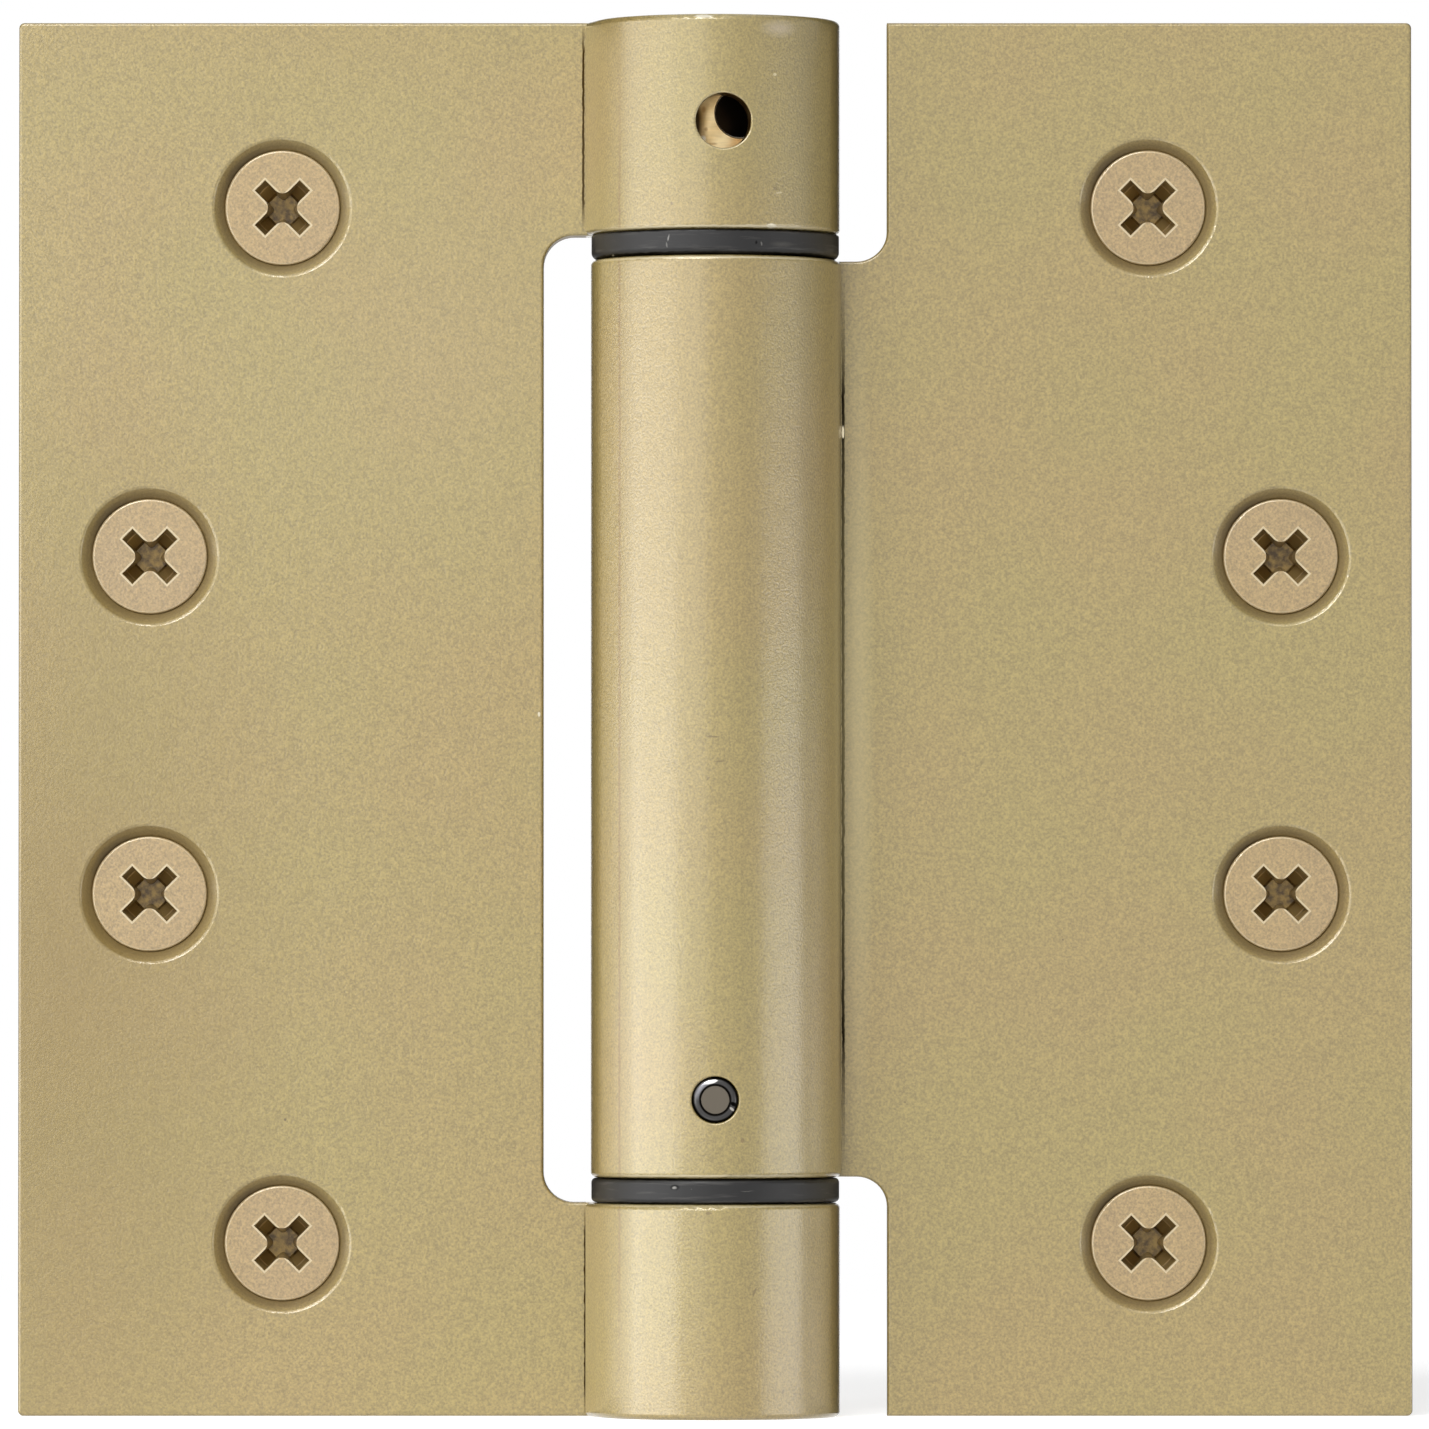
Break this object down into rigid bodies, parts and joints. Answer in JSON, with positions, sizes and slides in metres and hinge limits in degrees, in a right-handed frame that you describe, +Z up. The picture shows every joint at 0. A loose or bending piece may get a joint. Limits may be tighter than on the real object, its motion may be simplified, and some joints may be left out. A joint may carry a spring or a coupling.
{
  "type": "spring hinge",
  "caption": "Full-mortise single-acting spring hinge, square corners, coil spring in the middle knuckle, plastic bearing rings, flat-head screws.",
  "frame": {"origin": "on the pivot axis, at the lower end of the bottom knuckle, level with the leaves' lower edges", "axes": "+Z up along the pivot axis; +Y out of the leaves' backs, the way the screws go in; +X towards the leaf that carries the middle knuckle, laid flat open"},
  "size_m": [0.1142, 0.0435, 0.1143],
  "materials": {
    "leaf_brass": "satin",
    "screw_brass": "satin",
    "cap_brass": "satin",
    "ring_plastic": "matte",
    "spindle_steel": "machined",
    "bush_metal": "satin",
    "plain_steel": "machined",
    "spring_steel": "oiled",
    "pin_steel": "plain"
  },
  "bodies": {
    "frame": {"frame_leaf": "leaf_brass", "upper_bearing_ring": "ring_plastic", "lower_bearing_ring": "ring_plastic", "lower_bush": "bush_metal", "bottom_cap": "cap_brass", "top_cap": "cap_brass", "frame_screw_1": "screw_brass", "frame_screw_2": "screw_brass", "frame_screw_3": "screw_brass", "frame_screw_4": "screw_brass"},
    "leaf": {"barrel_leaf": "leaf_brass", "upper_bush": "bush_metal", "spring_hub": "plain_steel", "hub_pin": "pin_steel", "torsion_spring": "spring_steel", "leaf_screw_1": "screw_brass", "leaf_screw_2": "screw_brass", "leaf_screw_3": "screw_brass", "leaf_screw_4": "screw_brass"},
    "spindle": {"tension_spindle": "spindle_steel"}
  },
  "joints": [
    {"name": "leaf_swing", "type": "hinge", "parent": "frame", "child": "leaf", "pos_m": [0, 0, 0], "axis": [0, 0, 1], "range_deg": [-180, 90], "deforming": ["torsion_spring"]},
    {"name": "spindle_turn", "type": "hinge", "parent": "frame", "child": "spindle", "pos_m": [0, 0, 0], "axis": [0, 0, 1], "range_deg": [-300, 0], "deforming": ["torsion_spring"]}
  ]
}
